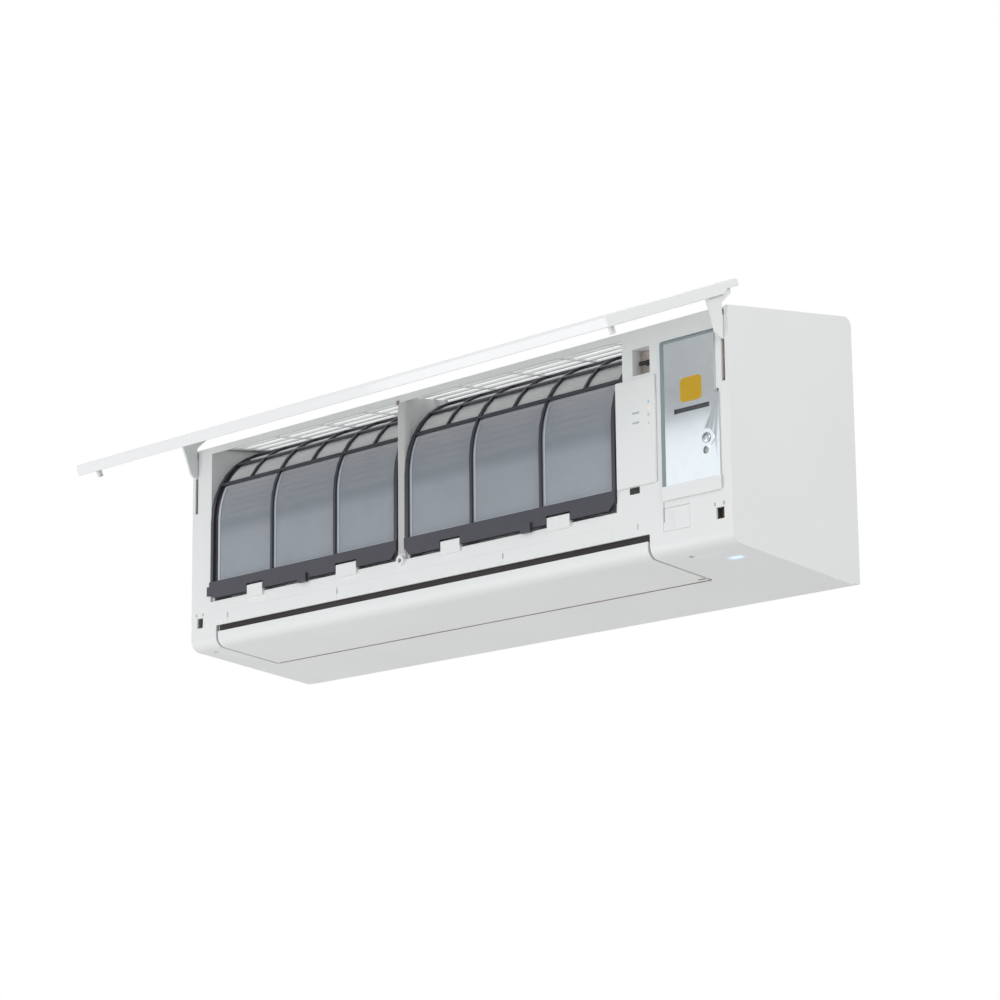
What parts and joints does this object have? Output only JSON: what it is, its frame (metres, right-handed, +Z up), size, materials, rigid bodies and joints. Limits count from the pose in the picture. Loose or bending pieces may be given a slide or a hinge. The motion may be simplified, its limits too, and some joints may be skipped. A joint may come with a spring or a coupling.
{
  "type": "mini split indoor unit",
  "caption": "Wall-hung indoor unit of a split air conditioner, front panel raised over two curved net filters, with a swinging outlet flap, air vanes and a cross-flow fan.",
  "frame": {"origin": "middle of the wall plate's back face, on the wall", "axes": "+X to the right as seen from the room, +Y into the wall, +Z up; the front panel is at its raised stop"},
  "size_m": [0.885, 0.3737, 0.3016],
  "materials": {
    "white_casing": "satin white moulded plastic",
    "white_panel": "smooth white moulded plastic",
    "grey_plastic": "light grey moulded plastic",
    "dark_plastic": "dark violet grey moulded plastic",
    "filter_net": "fine woven net",
    "black_rubber": "soft black rubber",
    "fan_plastic": "dark grey moulded plastic",
    "foam": "white expanded foam moulding",
    "board": "green circuit board with its parts",
    "lens_blue": "clear blue lens",
    "lens_clear": "clear lens",
    "zinc_steel": "zinc coated steel sheet",
    "fins": "aluminium fins and tube plates",
    "copper": "bare copper tube",
    "brass": "machined brass"
  },
  "bodies": {
    "casing": {"bearing_rubber": "black_rubber", "casing_screw_1": "zinc_steel", "casing_screw_2": "zinc_steel", "coil_end_left": "fins", "coil_end_right": "fins", "coil_front_lower": "fins", "coil_front_upper": "fins", "coil_rear": "fins", "control_board": "board", "cover_screw": "zinc_steel", "display_board": "board", "display_cover": "white_casing", "drain_pan": "foam", "drain_plug": "black_rubber", "electrical_box": "grey_plastic", "electrical_cover": "zinc_steel", "fan_bearing": "brass", "fan_motor": "dark_plastic", "flap_bush": "dark_plastic", "flap_motor": "zinc_steel", "front_casing": "white_casing", "gas_flare_nut": "brass", "gas_pipe": "copper", "indicator_lenses": "lens_clear", "intake_grille": "white_casing", "liquid_flare_nut": "brass", "liquid_pipe": "copper", "motor_band": "grey_plastic", "mounting_plate": "zinc_steel", "pipe_clamp": "grey_plastic", "rear_chassis": "grey_plastic", "room_sensor": "black_rubber", "running_lamp_lens": "lens_blue", "service_cover": "white_casing", "terminal_block": "dark_plastic", "vane_motor": "zinc_steel"},
    "panel": {"front_panel": "white_panel", "panel_arm_left": "white_casing", "panel_arm_right": "white_casing"},
    "filter_left": {"filter_frame_left": "dark_plastic", "filter_net_left": "filter_net"},
    "filter_right": {"filter_frame_right": "dark_plastic", "filter_net_right": "filter_net"},
    "flap": {"flap": "white_casing"},
    "fan": {"cross_flow_fan": "fan_plastic", "motor_shaft": "zinc_steel"},
    "link": {"vane_link": "dark_plastic"},
    "crank": {"vane_crank": "dark_plastic"},
    "button": {"manual_button": "dark_plastic"},
    "vane_1": {"vane_1": "dark_plastic"},
    "vane_2": {"vane_2": "dark_plastic"},
    "vane_3": {"vane_3": "dark_plastic"},
    "vane_4": {"vane_4": "dark_plastic"},
    "vane_5": {"vane_5": "dark_plastic"},
    "vane_6": {"vane_6": "dark_plastic"},
    "vane_7": {"vane_7": "dark_plastic"},
    "vane_8": {"vane_8": "dark_plastic"}
  },
  "joints": [
    {"name": "panel_hinge", "type": "hinge", "parent": "casing", "child": "panel", "pos_m": [0, -0.153, 0.104], "axis": [-1, 0, 0], "range_deg": [-68.7, 0]},
    {"name": "filter_left_slide", "type": "slide", "parent": "casing", "child": "filter_left", "axis": [0, -0.9659, -0.2588], "range_m": [0, 0.12]},
    {"name": "filter_right_slide", "type": "slide", "parent": "casing", "child": "filter_right", "axis": [0, -0.9659, -0.2588], "range_m": [0, 0.12]},
    {"name": "flap_hinge", "type": "hinge", "parent": "casing", "child": "flap", "pos_m": [0, -0.137, -0.1105], "axis": [1, 0, 0], "range_deg": [0, 70]},
    {"name": "fan_spin", "type": "hinge", "parent": "casing", "child": "fan", "pos_m": [0, -0.079, -0.0185], "axis": [1, 0, 0], "continuous": true},
    {"name": "vane_1_hinge", "type": "hinge", "parent": "casing", "child": "vane_1", "pos_m": [-0.3465, -0.05906, -0.08972], "axis": [0, -0.7394, 0.6733], "range_deg": [-35, 35]},
    {"name": "vane_2_hinge", "type": "hinge", "parent": "casing", "child": "vane_2", "pos_m": [-0.25764, -0.05906, -0.08972], "axis": [0, -0.7394, 0.6733], "range_deg": [-35, 35]},
    {"name": "vane_3_hinge", "type": "hinge", "parent": "casing", "child": "vane_3", "pos_m": [-0.16879, -0.05906, -0.08972], "axis": [0, -0.7394, 0.6733], "range_deg": [-35, 35]},
    {"name": "vane_4_hinge", "type": "hinge", "parent": "casing", "child": "vane_4", "pos_m": [-0.07993, -0.05906, -0.08972], "axis": [0, -0.7394, 0.6733], "range_deg": [-35, 35]},
    {"name": "vane_5_hinge", "type": "hinge", "parent": "casing", "child": "vane_5", "pos_m": [0.00893, -0.05906, -0.08972], "axis": [0, -0.7394, 0.6733], "range_deg": [-35, 35]},
    {"name": "vane_6_hinge", "type": "hinge", "parent": "casing", "child": "vane_6", "pos_m": [0.09779, -0.05906, -0.08972], "axis": [0, -0.7394, 0.6733], "range_deg": [-35, 35]},
    {"name": "vane_7_hinge", "type": "hinge", "parent": "casing", "child": "vane_7", "pos_m": [0.18664, -0.05906, -0.08972], "axis": [0, -0.7394, 0.6733], "range_deg": [-35, 35]},
    {"name": "vane_8_hinge", "type": "hinge", "parent": "casing", "child": "vane_8", "pos_m": [0.2755, -0.05906, -0.08972], "axis": [0, -0.7394, 0.6733], "range_deg": [-35, 35]},
    {"name": "vane_crank_hinge", "type": "hinge", "parent": "casing", "child": "crank", "pos_m": [0.3435, -0.05906, -0.08972], "axis": [0, -0.7394, 0.6733], "range_deg": [-35, 35]},
    {"name": "vane_link_slide", "type": "slide", "parent": "casing", "child": "link", "axis": [1, 0, 0], "range_m": [-0.00733, 0.00733]},
    {"name": "manual_button_press", "type": "slide", "parent": "casing", "child": "button", "axis": [0, 1, 0], "range_m": [0, 0.0015], "stiffness_N_per_m": 600, "springref_m": -0.0005}
  ],
  "couplings": [
    {"joint": "vane_1_hinge", "follows": "vane_link_slide", "rad_per_m": 83.333},
    {"joint": "vane_2_hinge", "follows": "vane_link_slide", "rad_per_m": 83.333},
    {"joint": "vane_3_hinge", "follows": "vane_link_slide", "rad_per_m": 83.333},
    {"joint": "vane_4_hinge", "follows": "vane_link_slide", "rad_per_m": 83.333},
    {"joint": "vane_5_hinge", "follows": "vane_link_slide", "rad_per_m": 83.333},
    {"joint": "vane_6_hinge", "follows": "vane_link_slide", "rad_per_m": 83.333},
    {"joint": "vane_7_hinge", "follows": "vane_link_slide", "rad_per_m": 83.333},
    {"joint": "vane_8_hinge", "follows": "vane_link_slide", "rad_per_m": 83.333},
    {"joint": "vane_crank_hinge", "follows": "vane_link_slide", "rad_per_m": 83.333}
  ]
}
